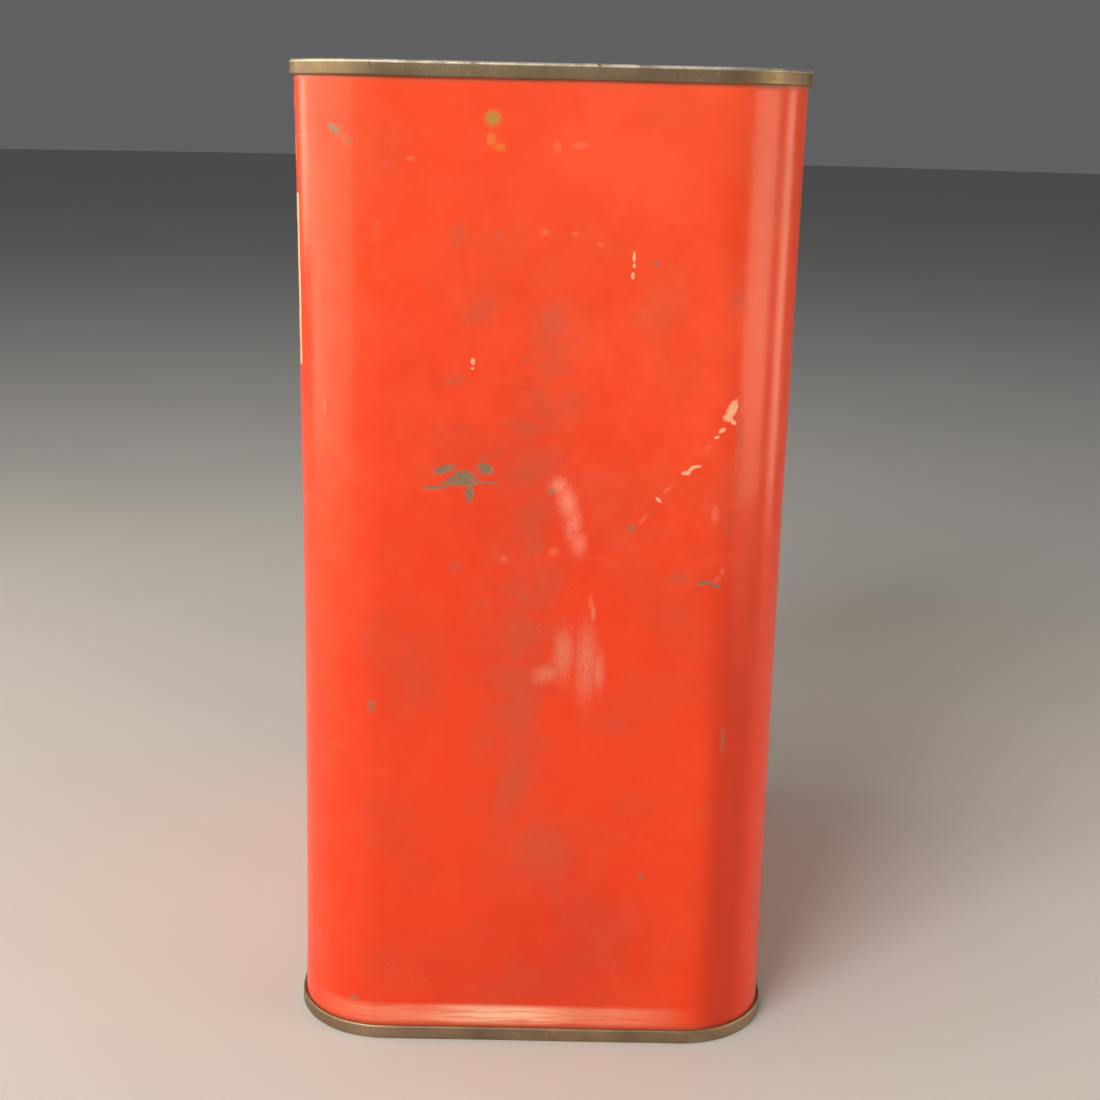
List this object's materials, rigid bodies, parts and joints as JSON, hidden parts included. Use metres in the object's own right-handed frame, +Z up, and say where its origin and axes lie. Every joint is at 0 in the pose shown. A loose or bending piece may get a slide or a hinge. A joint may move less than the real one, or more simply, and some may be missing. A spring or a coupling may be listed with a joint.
{
  "type": "oblong oil can",
  "caption": "Oblong two-gallon sheet-metal oil can with rounded corners, double-seamed ends, a recessed screw cap and a folding wire bail.",
  "frame": {"origin": "centre of the footprint, on the plane that the can stands on", "axes": "+Z up, the can's height; +X across the wide label panels, so that the narrow panels face -X and +X; the front label panel faces -Y, and the lock seam runs down the -X panel"},
  "size_m": [0.2186, 0.1456, 0.287],
  "materials": {
    "red_lithograph": "aged gloss enamel, chipped and scuffed",
    "tinplate": "tarnished bare tinplate",
    "seam_compound": "dull",
    "solder": "dull grey solder",
    "gasket": "dull",
    "cap_tinplate": "worn tinplate with light rust",
    "pulpboard": "oil-stained board",
    "steel_wire": "dark oxidised wire",
    "grip_tinplate": "rubbed tinplate"
  },
  "bodies": {
    "can": {"body": "red_lithograph", "top_end": "tinplate", "bottom_end": "tinplate", "top_seam_compound": "seam_compound", "bottom_seam_compound": "seam_compound", "side_seam_solder": "solder", "neck": "tinplate", "neck_gasket": "gasket", "right_ear": "tinplate", "left_ear": "tinplate", "ear_solder": "solder"},
    "bail": {"bail_wire": "steel_wire"},
    "grip": {"bail_grip": "grip_tinplate"},
    "liner": {"cap_liner": "pulpboard"},
    "cap": {"cap": "cap_tinplate"}
  },
  "joints": [
    {"name": "bail_fold", "type": "hinge", "parent": "can", "child": "bail", "pos_m": [0, 0, 0.2836], "axis": [1, 0, 0], "range_deg": [0, 180]},
    {"name": "grip_spin", "type": "hinge", "parent": "bail", "child": "grip", "pos_m": [0, 0.045, 0.2836], "axis": [1, 0, 0], "continuous": true},
    {"name": "cap_lift", "type": "slide", "parent": "can", "child": "liner", "axis": [0, 0, 1], "range_m": [0, 0.0406]},
    {"name": "cap_turn", "type": "hinge", "parent": "liner", "child": "cap", "pos_m": [-0.072, -0.0345, 0.284], "axis": [0, 0, 1], "range_deg": [0, 3240]}
  ],
  "couplings": [
    {"joint": "cap_lift", "follows": "cap_turn", "m_per_rad": 0.0007162}
  ]
}
